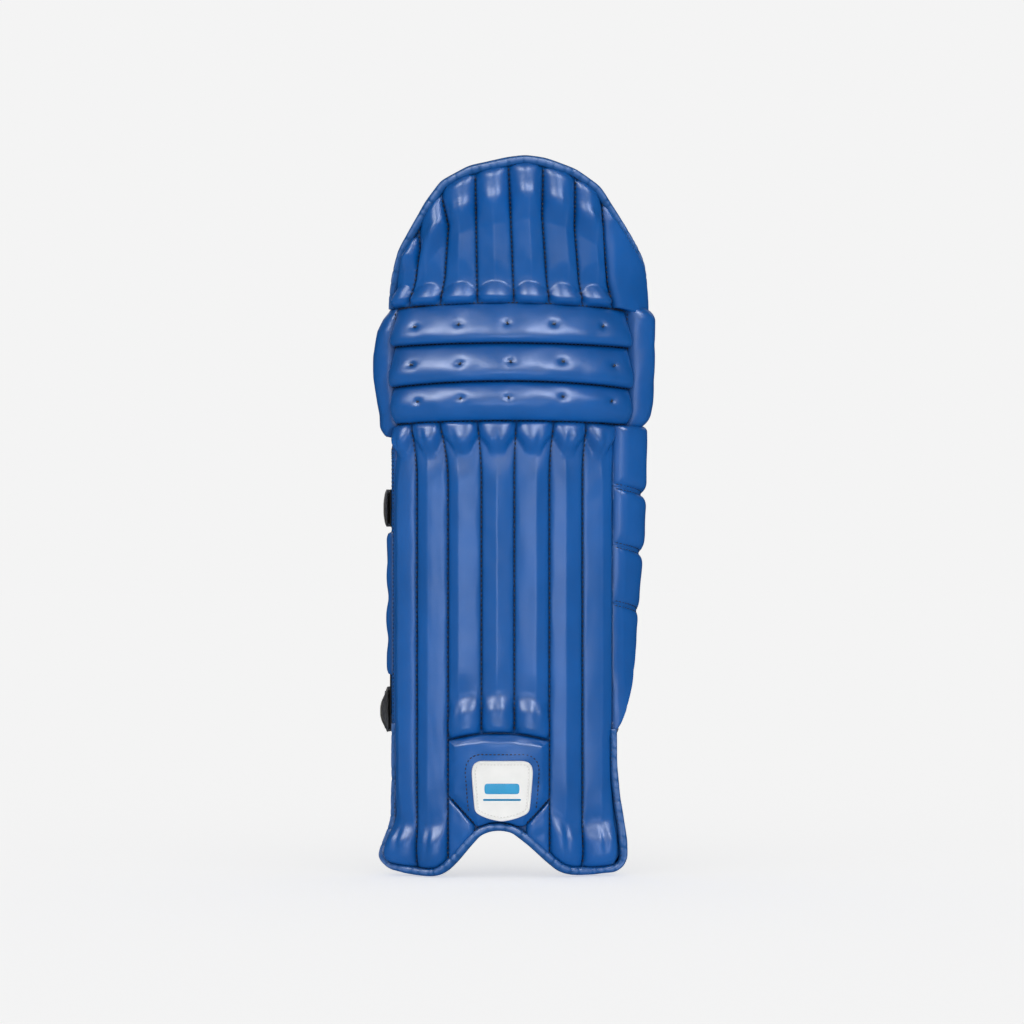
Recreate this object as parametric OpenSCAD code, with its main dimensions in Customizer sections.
// Cricket batting leg pad: a ribbed shin section, a knee section of three rolls and a
// ribbed top flap, with a folding side wing and three straps round the leg.
// Millimetres. +Z is up, -Y faces the bowler, and the pad stands on its two foot lobes.

/* [Shin section] */
// Height of the fold between shin and knee above the floor
knee_z = 455; // [445:1:465]
// Width of one rib, seam to seam
rib_pitch = 34; // [33:0.5:35]
// Height of a rib's crest above the seams
rib_h = 12; // [10:0.5:13]
// Thickness of the foam board behind the ribs
board_t = 6; // [4:0.5:7]
// Radius of the front of the pad, seen from above
front_r = 200; // [195:1:206]

/* [Knee section] */
// Height of the fold between knee and top flap above the floor
flap_z = 570; // [565:1:575]
// Height of the knee rolls above the board
roll_h = 20; // [16:0.5:22]
// How far the knee section bends back
knee_back = 20; // [10:1:20]
// How far the knee section bends forward
knee_front = 8; // [4:1:8]

/* [Top flap] */
// How far the top flap leans back at rest
lean = 8; // [6:0.5:9]
// How far the top flap bends back from there
flap_back = 20; // [10:1:20]
// How far the top flap bends forward from there
flap_front = 10; // [6:1:10]

/* [Straps] */
// Width of the knee and calf straps
strap_w = 38; // [34:1:40]
// Width of the ankle strap
ankle_w = 46; // [40:1:48]
// Thickness of the strap webbing
strap_t = 2.4; // [2:0.1:3]
// Height of the knee strap's middle
knee_strap_z = 506; // [500:1:510]
// Height of the calf strap's middle
calf_strap_z = 369; // [360:1:375]
// Height of the ankle strap's middle
ankle_strap_z = 164; // [160:1:170]

/* [Hidden] */

ribs = 7;
gap = 0.2;               // clearance between neighbouring soft pieces
base_gap = 0.6;          // and under the rolls and pads, where facets of two curves meet
lining_t = 1.5;          // cloth and its thin foam behind the boards
lining_h = -board_t - gap;
bolster_h = lining_h - lining_t - 0.5;
facing = "#1f5aa8";
facing_dark = "#17488c";
lining_cloth = "#1c2c50";
webbing = "#2b2b2c";
fold_y = 25;             // depth of both fold axes behind the front seams
clear_deg = 0.8;         // spare angle in each fold
rib_edge = ribs * rib_pitch / 2;

// The plan of the pad is a chain of arcs from the middle of the front to each side.
// Each arc is [length, radius]; a radius of 0 is a straight.
tight_from = 2.5 * rib_pitch;
right_arcs = [[rib_edge, front_r], [40, 50], [16, 0]];
left_arcs = [[tight_from, front_r], [rib_pitch, 45], [15, 40], [60, 0]];
wing_end = 175;          // distance along the plan to the outer wing's rear edge
flank_end = -155;        // and to the inner flank's rear edge
knee_left = -176;
knee_right = 175;
side_left = -111;        // seams between the knee rolls and the side rolls
side_right = 137;
top_right = 166;

// The foot's lower edge and the flap's upper edge: distance along the plan, height.
foot_edge = [[-119, 14], [-115, 5], [-108, 0], [-100, 0], [-92, 0], [-85, 0], [-74, 0],
    [-62, 0], [-52, 6], [-42, 17], [-31, 30], [-20, 42], [-10, 46], [0, 47], [12, 45],
    [21, 38], [29, 32], [38, 24], [48, 15], [60, 5], [70, 0], [81, 0], [91, 0], [100, 0],
    [110, 0], [116, 5], [119, 14]];
flap_edge = [[-123, 586], [-118, 604], [-108, 627], [-91, 652], [-77, 674], [-58, 694],
    [-25, 710], [8, 719], [25, 721], [45, 719], [77, 709], [102, 694], [119, 672],
    [142, 641], [156, 623], [166, 613]];
binding_w = 7.7;         // how far the binding laps over the face
binding_t = 2.6;         // its thickness past the board's edge
rib_floor = 143;         // where the three middle shin ribs end above the instep

// Knee rolls: lower and upper seam heights, bottom to top.
roll_seams = [knee_z + 2, knee_z + 37, knee_z + 75, flap_z - 1];
tufts_per_roll = 5;
tuft_first = -88;
tuft_pitch = 49;

// Outer wing pads: heights of the grooves between them, and where the wing narrows.
wing_top = knee_z - 3;
wing_low = 140;
wing_taper_z = 280;
groove_z = [wing_top, 395, 336, 276, wing_low];
wing_pad_h = 12.5;       // thickness of the wing's pads
groove_w = 6;
groove_drop = 12;        // how much lower a groove is at the wing's rear edge

// The whole pad is moved so that the origin is under the middle of its box.
strap_corner = 40;
knee_strap_start = [139.5, 85];
mid_x = 13.5;
mid_y = 58.6;

// ---------- plan and sweep ----------

// Moves distance d along an arc of radius r from p = [x, y, heading].
function advance(p, d, r) =
    r == 0 ? [p[0] + d * cos(p[2]), p[1] + d * sin(p[2]), p[2]]
    : let (b = p[2] + d / r * 180 / PI)
        [p[0] + r * (sin(b) - sin(p[2])), p[1] + r * (cos(p[2]) - cos(b)), b];

// The place at distance s along a chain of arcs, past its end if need be.
function walk(arcs, s, p = [0, 0, 0], i = 0) =
    i == len(arcs) - 1 || s <= arcs[i][0] ? advance(p, s, arcs[i][1])
    : walk(arcs, s - arcs[i][0], advance(p, arcs[i][0], arcs[i][1]), i + 1);

// The pad's plan: s is the distance along it, h the height out from the board's face.
function plan(s) =
    s >= 0 ? walk(right_arcs, s) : let (p = walk(left_arcs, -s)) [-p[0], p[1], -p[2]];
function off(p, h) = [p[0] + h * sin(p[2]), p[1] - h * cos(p[2])];
pad_plan = function (s, h) off(plan(s), h);

function steps(a, b, n) = [for (i = [0:n]) a + (b - a) * i / n];

// The lowest a part above a fold may reach, so that it clears what is below it.
function above_fold(y, z, back, front) =
    z + (y > fold_y ? (y - fold_y) * tan(back + clear_deg)
        : (fold_y - y) * tan(front + clear_deg));
knee_floor = function (s, h) above_fold(pad_plan(s, h)[1], knee_z, knee_back, knee_front);
flap_floor = function (s, h)
    above_fold(pad_plan(s, h)[1], flap_z, flap_back + lean, flap_front - lean);

// The same for a pad that rises from the board to height h.
knee_pad_floor = function (s, h) max(knee_floor(s, 0), knee_floor(s, h));
flap_pad_floor = function (s, h) max(flap_floor(s, 0), flap_floor(s, h));

// Skins a row of rings, one per station. ring(s) gives [h, z] pairs, and path(s, h)
// gives the plan point of each.
module sweep(stations, ring, path = pad_plan) {
    n = len(ring(stations[0]));
    m = len(stations);
    points = [for (s = stations) for (p = ring(s)) let (q = path(s, p[0])) [q[0], q[1], p[1]]];
    sides = [for (i = [0:m - 2]) for (k = [0:n - 1]) let (a = i * n + k, b = i * n + (k + 1) % n)
        each [[a, a + n, b], [b, a + n, b + n]]];
    caps = [[for (k = [0:n - 1]) k], [for (k = [n - 1:-1:0]) (m - 1) * n + k]];
    faces = concat(sides, caps);
    turned = stations[0] > stations[m - 1];
    polyhedron(points, turned ? [for (f = faces) [for (k = [len(f) - 1:-1:0]) f[k]]] : faces);
}

// A slab of the plan between two heights h, and between the heights lo and hi.
module slab(stations, h0, h1, lo, hi) {
    sweep(stations, function (s) [
        [h0, lo(s, h0)], [h0, hi(s, h0)], [h1, hi(s, h1)], [h1, lo(s, h1)]]);
}

module leaned() {
    translate([0, fold_y, flap_z])
        rotate([-lean, 0, 0])
            translate([0, -fold_y, -flap_z])
                children();
}

// ---------- ribs and canes ----------

function rib_seam(i) = -rib_edge + (i - 1) * rib_pitch;
function rib_mid(i) = rib_seam(i) + rib_pitch / 2;
cane_slot = [6.4, 6.2];  // half width and depth of the slot behind each rib
cane_r = 2.6;

// A padded rib: a ridge with a slot for two canes behind it, swollen at its ends.
module rib(i, lo, hi) {
    s0 = rib_seam(i) + gap / 2;
    s1 = rib_seam(i + 1) - gap / 2;
    sm = (s0 + s1) / 2;
    half = (s1 - s0) / 2;
    slot = cane_slot[0];
    sweep([s0, s0 + 4, sm - slot - 0.05, sm - slot, sm, sm + slot, sm + slot + 0.05, s1 - 4, s1],
        function (s) let (
            back = abs(s - sm) < slot + 0.02 ? cane_slot[1] : gap,
            face = lookup(abs(s - sm) / half, [[0, rib_h], [0.75, rib_h * 0.62], [1, 2.5]]),
            rise = function (k) max(back + 1.4, face * k),
            z0 = lo(s, 0), z1 = hi(s, 0), l = z1 - z0)
        [[back, z0], [back, z1], [rise(0.5), z1], [rise(1.02), z1 - min(14, l * 0.15)],
         [rise(0.75), z1 - min(28, l * 0.3)], [rise(1), z1 - min(34, l * 0.4)],
         [rise(1), z0 + min(12, l * 0.2)], [rise(0.5), z0]]);
}

module canes(i, z0, z1) {
    for (side = [-1, 1]) {
        p = pad_plan(rib_mid(i) + side * cane_r * 1.1, gap * 2 + cane_r);
        translate([p[0], p[1], z0]) cylinder(h = z1 - z0, r = cane_r, $fn = 24);
    }
}

foot_lo = function (s, h) lookup(s, foot_edge);
face_lo = function (s, h) foot_lo(s, h) + binding_w + gap;
mid_lo = function (s, h) rib_floor - pow(abs(s) / 17, 2) * 0.6;
shin_hi = function (s, h) knee_z - 0.6;
flap_hi = function (s, h) lookup(s, flap_edge) - binding_w - 2.5;
function is_mid(i) = i >= 3 && i <= 5;

module shin_rib(i) {
    color(facing) rib(i, is_mid(i) ? mid_lo : face_lo, shin_hi);
}

module top_rib(i) {
    color(facing) leaned() rib(i, function (s, h) flap_pad_floor(s, rib_h), flap_hi);
}

module shin_canes() {
    color("tan")
        for (i = [1:ribs])
            canes(i, is_mid(i) ? rib_floor + 4 : 30, knee_z - 30);
}

module top_canes() {
    color("tan") leaned()
        for (i = [1:ribs])
            canes(i, flap_z + 14, min(flap_hi(rib_seam(i) + 4, 0), flap_hi(rib_seam(i + 1) - 4, 0)) - 6);
}

// ---------- shin section ----------

shin_stations = concat([for (p = foot_edge) p[0]]);

module shin_board() {
    color(facing_dark)
        slab(shin_stations, -board_t, 0, function (s, h) foot_lo(s, h) + binding_t + gap, shin_hi);
}

module shin_lining() {
    color(lining_cloth)
        slab(shin_stations, lining_h - lining_t, lining_h,
            function (s, h) foot_lo(s, h) + binding_t + gap, shin_hi);
}

// The padded panel above the instep. Its lower corners are cut off for the gussets.
panel_half = 1.5 * rib_pitch - gap;
panel_foot = [24, 51];   // half width of its foot, and its height
panel_lo = function (s, h)
    max(face_lo(s, h), panel_foot[1] + max(0, abs(s) - panel_foot[0]) * 1.12);

module instep_panel() {
    color(facing)
        sweep([-panel_half, -panel_half + 4, -35, -24, -12, 0, 12, 24, 35, panel_half - 4, panel_half],
            function (s) let (
                z0 = panel_lo(s, 0), z1 = mid_lo(s, 0) - gap,
                face = lookup(abs(s), [[0, 9], [panel_half - 4, 8], [panel_half, 3]]))
            [[gap, z0], [gap, z1], [face * 0.5, z1], [face, z1 - 4], [face, z0 + 4], [face * 0.5, z0]]);
}

module instep_gussets() {
    color(facing)
        for (side = [-1, 1])
            sweep([for (s = [22, 28, 35, 42, 47, panel_half]) side * s],
                function (s) let (z0 = face_lo(s, 0), z1 = max(z0 + 1, panel_lo(s, 0) - 1.2))
                [[gap, z0], [gap, z1], [4, z1], [6, (z0 + z1) / 2], [4, z0]]);
}

badge_z = 88;
badge_s = 2;
badge_h = 9.3;           // height of the badge's back above the board
badge_face = [[-30, 22], [-22, 29], [22, 29], [30, 22], [27, -22], [0, -31], [-27, -22]];

module badge_patch() {
    color("whitesmoke")
        translate([badge_s, -badge_h, badge_z])
            rotate([90, 0, 0])
                linear_extrude(3.5) polygon(badge_face);
}

// The binding folded over the foot's lower edge, and up its sides to the wings.
side_bind = [[-1, 26, 150], [1, 26, wing_low - 3]];

module shin_binding() {
    color(facing_dark) {
        sweep(shin_stations, function (s) let (z = foot_lo(s, 0))
            [[lining_h - lining_t, z], [lining_h - lining_t, z + binding_t], [gap, z + binding_t],
             [gap, z + binding_w], [3.5, z + binding_w], [3.5, z]]);
        for (b = side_bind)
            slab([b[0] * (rib_edge + 0.3), b[0] * (rib_edge + 3), b[0] * (rib_edge + 5)],
                lining_h, 3, function (s, h) b[1], function (s, h) b[2]);
    }
}

flank_lo = function (s, h) 156 + (abs(s) - rib_edge) * 0.5;
flank_hi = function (s, h) 440 - (abs(s) - rib_edge) * 0.6;
flank_stations = concat(steps(-rib_edge - gap, -rib_edge - 15, 4), [flank_end]);

module inner_flank() {
    color(facing_dark)
        slab(flank_stations, -board_t, 0, flank_lo, flank_hi);
}

module inner_flank_pad() {
    color(facing)
        sweep(steps(-rib_edge - 4, flank_end + 5, 5), function (s) let (
                ends = abs(s) > 130 ? 8 : 0)
            [[gap, 214 + ends], [gap, 344 - ends], [2, 344 - ends], [4, 334 - ends],
             [4, 224 + ends], [2, 214 + ends]]);
}

module bolster(s0, s1, z0, z1, depth) {
    sweep(steps(s0, s1, 6), function (s) let (
            u = abs(2 * (s - s0) / (s1 - s0) - 1),
            d = depth * (1 - 0.55 * u * u * u), l = bolster_h)
        [[l, z0], [l - d * 0.6, z0], [l - d, z0 + 9], [l - d, z1 - 9], [l - d * 0.6, z1], [l, z1]]);
}

module shin_bolster_left() { color(facing_dark) bolster(-88, -46, 62, 436, 20); }
module shin_bolster_right() { color(facing_dark) bolster(46, 88, 62, 436, 20); }
module instep_cushion() { color(facing_dark) bolster(-34, 34, 58, 128, 14); }

// ---------- outer wing ----------

wing_hinge_s = rib_edge;
wing_rear = function (z)
    lookup(z, [[wing_low, rib_edge + 3], [wing_taper_z, wing_end], [wing_top, wing_end]]);
// Heights of the wing's lower edge, where it narrows towards the foot.
wing_lo = function (s, h)
    lookup(s, [[rib_edge, wing_low], [wing_end, wing_taper_z]]);
wing_stations = [rib_edge + 0.6, 124, 131, 138, 145, 152, rib_edge + 40, wing_end];

module outer_wing_board() {
    color(facing_dark)
        slab(wing_stations, -board_t - lining_t, 0, wing_lo, function (s, h) wing_top);
}

module outer_wing_pad(i) {
    drop = function (s) -groove_drop * (s - rib_edge) / (wing_end - rib_edge);
    upper = function (s) groove_z[i - 1] + (i > 1 ? drop(s) - groove_w : -gap);
    lower = function (s) max(groove_z[i] + drop(s) * (i < 4 ? 1 : 0), wing_lo(s, 0) + 1);
    last = i < 4 ? wing_end - 2 : 163;
    color(facing)
        sweep([rib_edge + 1.6, 127, 134, 140, 147, 155, last], function (s) let (
                face = lookup(s, [[rib_edge + 1.6, 2.6], [127, 11], [155, wing_pad_h], [wing_end - 2, 7]]),
                z0 = lower(s), z1 = max(upper(s), z0 + 2), e = min(6, (z1 - z0) / 4))
            [[base_gap, z0], [base_gap, z1], [face * 0.6, z1], [face, z1 - e], [face, z0 + e], [face * 0.6, z0]]);
}

// ---------- knee section ----------

knee_hi = function (s, h) flap_z - 0.6;
knee_stations = concat([knee_left], steps(-rib_edge - 15, -tight_from, 6),
    steps(-60, 60, 6), steps(rib_edge - 25, rib_edge + 40, 7), [knee_right]);

module knee_board() {
    color(facing_dark) slab(knee_stations, -board_t, 0, knee_floor, knee_hi);
}

module knee_lining() {
    color(lining_cloth)
        slab(knee_stations, lining_h - lining_t, lining_h, knee_floor, knee_hi);
}

roll_stations = concat(steps(side_left + gap, -tight_from, 4), steps(-60, 90, 6),
    steps(108, side_right - gap, 4));

module knee_roll(i) {
    k = 3 - i;
    color(facing)
        sweep(roll_stations, function (s) let (
                face = roll_h * lookup(min(s - side_left, side_right - s), [[0, 0.3], [6, 0.75], [14, 1]]),
                z0 = max(roll_seams[k] + gap, knee_pad_floor(s, roll_h)),
                z1 = roll_seams[k + 1] - gap,
                l = z1 - z0)
            [[base_gap, z0], [base_gap, z1], [face * 0.5, z1], [face * 0.85, z1 - l * 0.15],
             [face, z1 - l * 0.38], [face, z0 + l * 0.38], [face * 0.85, z0 + l * 0.15],
             [face * 0.5, z0]]);
}

module side_roll(s0, s1, tall) {
    color(facing)
        sweep(steps(s0, s1, 6), function (s) let (
                u = abs(2 * (s - s0) / (s1 - s0) - 1),
                face = tall * sqrt(1 - 0.85 * u * u),
                z0 = knee_pad_floor(s, face) + 1,
                z1 = flap_z - 4 - 8 * u)
            [[base_gap, z0], [base_gap, z1], [face * 0.6, z1], [face, z1 - 9], [face, z0 + 9], [face * 0.6, z0]]);
}

module knee_side_roll_left() { side_roll(-148, side_left - gap, 16); }
module knee_side_roll_right() { side_roll(side_right + gap, 173, roll_h); }

// The knots that tuft each roll, as flat buttons on its face.
module knee_tufts() {
    color("midnightblue")
        for (k = [0:2], i = [0:tufts_per_roll - 1]) {
            s = tuft_first + i * tuft_pitch;
            p = plan(s);
            q = off(p, roll_h + gap);
            translate([q[0], q[1], (roll_seams[k] + roll_seams[k + 1]) / 2])
                rotate([0, 0, p[2]])
                    rotate([90, 0, 0])
                        cylinder(h = 0.8, r = 1.8, $fn = 16);
        }
}

module knee_bolster(z0, z1) {
    sweep(steps(-66, 66, 8), function (s) let (
            u = abs(s / 66), d = 18 * (1 - 0.5 * u * u * u), l = bolster_h)
        [[l, z0], [l - d * 0.6, z0], [l - d, z0 + 8], [l - d, z1 - 8], [l - d * 0.6, z1], [l, z1]]);
}
module knee_bolster_upper() { color(facing_dark) knee_bolster(521, 564); }
module knee_bolster_lower() { color(facing_dark) knee_bolster(463, 517); }

// ---------- top flap ----------

top_stations = concat([-119.5], steps(-116, -tight_from, 5), steps(-60, 90, 8),
    steps(102, rib_edge + 40, 6), [top_right]);

module top_board() {
    color(facing_dark) leaned()
        slab(top_stations, -board_t + 1, 0, flap_floor,
            function (s, h) lookup(s, flap_edge) - binding_t - 1);
}

module top_lining() {
    color(lining_cloth) leaned()
        slab(top_stations, lining_h - lining_t + 1, lining_h + 1, flap_floor,
            function (s, h) lookup(s, flap_edge) - binding_t - 1);
}

module top_binding() {
    color(facing_dark) leaned()
        sweep(top_stations, function (s) let (z = lookup(s, flap_edge), b = lining_h - lining_t + 1)
            [[b, z - binding_t], [b, z], [3.5, z], [3.5, z - binding_w], [gap, z - binding_w],
             [gap, z - binding_t]]);
}

module top_wing_pad() {
    color(facing) leaned()
        sweep([rib_edge + gap, 124, 134, 145, 155, top_right - 2], function (s) let (
                face = lookup(s, [[rib_edge, 3], [124, 9], [152, 13], [top_right, 10]]),
                z0 = flap_pad_floor(s, face) + 0.5, z1 = max(flap_hi(s, 0) - 1, z0 + 3), e = min(6, (z1 - z0) / 4))
            [[base_gap, z0], [base_gap, z1], [face * 0.6, z1], [face, z1 - e], [face, z0 + e], [face * 0.6, z0]]);
}

// ---------- straps ----------

// Each strap is [start, heading, arcs, width, middle height, length to the hook].
tuck_x = -115.4;         // a strap's middle line on the inner flank
corner_turn = 75;
corner_l = strap_corner * corner_turn * PI / 180;

// Arcs for a strap that turns from heading a to 180 - 15 degrees, crosses behind the
// leg in one long bow, turns down the flank and lifts at its tip.
function strap_arcs(start, a, r0, r1, flat, tip_r, tip_l) = let (
        turn = 165 - a,
        x0 = start[0] + r0 * (sin(165) - sin(a)),
        x1 = tuck_x - r1 * (sin(270) - sin(195)),
        bow = (x1 - x0) / (sin(195) - sin(165)))
    [[r0 * turn * PI / 180, r0], [bow * 30 * PI / 180, bow], [r1 * 75 * PI / 180, r1],
     [flat, 0], [tip_l, tip_r]];

calf_strap_start = [139.5, 85];
ankle_strap_start = [117, 56];
knee_arcs = strap_arcs(knee_strap_start, 90, strap_corner, 34, 12, -300, 6);
calf_arcs = strap_arcs(calf_strap_start, 90, strap_corner, 38, 22, -60, 14);
ankle_arcs = strap_arcs(ankle_strap_start, 75, 44, 30, 14, -40, 20);

function total(arcs, n) = n == 0 ? 0 : arcs[n - 1][0] + total(arcs, n - 1);
strap_joint = 0.8;       // gap between a strap's first edge and its hinge line
hook_bend = 8;           // how far the hook tape runs back round the bend

module strap_band(start, a, arcs, w, z, h0, h1, from, to, tip) {
    ends = [for (i = [0:len(arcs)]) total(arcs, i)];
    inner = [for (k = [0:len(arcs) - 1]) for (t = steps(ends[k], ends[k + 1], k == 3 ? 1 : 6))
        if (t > from + 1 && t < to - 1) t];
    tip_steps = tip ? [for (q = [18, 36, 54, 72]) to - w / 2 * (1 - sin(q))] : [];
    cut = tip ? to - w / 2 : to;
    stations = concat([from], [for (i = [0:len(inner) - 1])
            if (inner[i] < cut - 1 && (i == 0 || inner[i] > inner[i - 1] + 0.5)) inner[i]],
        tip ? [cut] : [], tip_steps, [tip ? to - 0.4 : to]);
    sweep(stations, function (s) let (
            half = s > cut ? sqrt(pow(w / 2, 2) - pow(s - cut, 2)) : w / 2)
        [[h1, z - half], [h0, z - half], [h0, z + half], [h1, z + half]],
        function (s, h) off(walk(arcs, s, [start[0], start[1], a]), h));
}

module strap(start, a, arcs, w, z) {
    color(webbing)
        strap_band(start, a, arcs, w, z, -strap_t / 2, strap_t / 2, strap_joint,
            total(arcs, len(arcs)), true);
}

// The padded sleeve on the leg's side of the strap.
module strap_pad(start, a, arcs, w, z, l) {
    mid = arcs[0][0] + arcs[1][0] / 2;
    color(webbing)
        strap_band(start, a, arcs, w + 18, z, -strap_t / 2 - base_gap - 8, -strap_t / 2 - base_gap,
            mid - l / 2, mid + l / 2, false);
}

// The hook tape sewn inside the strap's end.
module strap_hook(start, a, arcs, w, z) {
    flat = total(arcs, 3);
    color("black")
        strap_band(start, a, arcs, w - 6, z, -strap_t / 2 - base_gap - 1.4, -strap_t / 2 - base_gap,
            flat - hook_bend, flat + arcs[3][0] - 1, false);
}

module knee_strap() { strap(knee_strap_start, 90, knee_arcs, strap_w, knee_strap_z); }
module calf_strap() { strap(calf_strap_start, 90, calf_arcs, strap_w, calf_strap_z); }
module ankle_strap() { strap(ankle_strap_start, 75, ankle_arcs, ankle_w, ankle_strap_z); }
module knee_strap_pad() { strap_pad(knee_strap_start, 90, knee_arcs, strap_w, knee_strap_z, 110); }
module calf_strap_pad() { strap_pad(calf_strap_start, 90, calf_arcs, strap_w, calf_strap_z, 130); }
module ankle_strap_pad() { strap_pad(ankle_strap_start, 75, ankle_arcs, ankle_w, ankle_strap_z, 100); }
module knee_strap_hook() { strap_hook(knee_strap_start, 90, knee_arcs, strap_w, knee_strap_z); }
module calf_strap_hook() { strap_hook(calf_strap_start, 90, calf_arcs, strap_w, calf_strap_z); }
module ankle_strap_hook() { strap_hook(ankle_strap_start, 75, ankle_arcs, ankle_w, ankle_strap_z); }

// A sewn tab that joins a strap to the pad's rear edge, from distance s0 to s1.
module anchor(s0, s1, h, w, z) {
    color(webbing)
        slab(steps(s0, s1, 2), h - strap_t, h, function (s, h) z - w / 2, function (s, h) z + w / 2);
}

module knee_strap_anchor() { anchor(146, knee_right - 0.5, bolster_h, strap_w, knee_strap_z); }
module calf_strap_anchor() { anchor(146, wing_end - 0.5, bolster_h, strap_w, calf_strap_z); }
module ankle_strap_anchor() { anchor(96, rib_edge - 0.5, bolster_h, ankle_w - 8, ankle_strap_z); }

module loop_patch(s0, s1, w, z) {
    slab(steps(s0, s1, 2), gap, 1.6, function (s, h) z - w / 2, function (s, h) z + w / 2);
}

module shin_loop_patches() {
    color("black") {
        loop_patch(-150, -133, strap_w, calf_strap_z);
        loop_patch(-150, -133, 44, ankle_strap_z + 18);
    }
}
module knee_loop_patch() { color("black") loop_patch(-174, -150, strap_w, knee_strap_z); }

// ---------- the pad ----------

module placed() { translate([-mid_x, -mid_y, 0]) children(); }

placed() {
    shin_board();
    shin_lining();
    for (i = [1:ribs])
        shin_rib(i);
    shin_canes();
    instep_panel();
    instep_gussets();
    badge_patch();
    shin_binding();
    inner_flank();
    inner_flank_pad();
    shin_bolster_left();
    shin_bolster_right();
    instep_cushion();
    shin_loop_patches();
    ankle_strap_anchor();
    outer_wing_board();
    for (i = [1:4])
        outer_wing_pad(i);
    calf_strap_anchor();
    knee_board();
    knee_lining();
    for (i = [1:3])
        knee_roll(i);
    knee_side_roll_left();
    knee_side_roll_right();
    knee_tufts();
    knee_bolster_upper();
    knee_bolster_lower();
    knee_loop_patch();
    knee_strap_anchor();
    top_board();
    top_lining();
    for (i = [1:ribs])
        top_rib(i);
    top_canes();
    top_wing_pad();
    top_binding();
    knee_strap();
    knee_strap_pad();
    knee_strap_hook();
    calf_strap();
    calf_strap_pad();
    calf_strap_hook();
    ankle_strap();
    ankle_strap_pad();
    ankle_strap_hook();
}
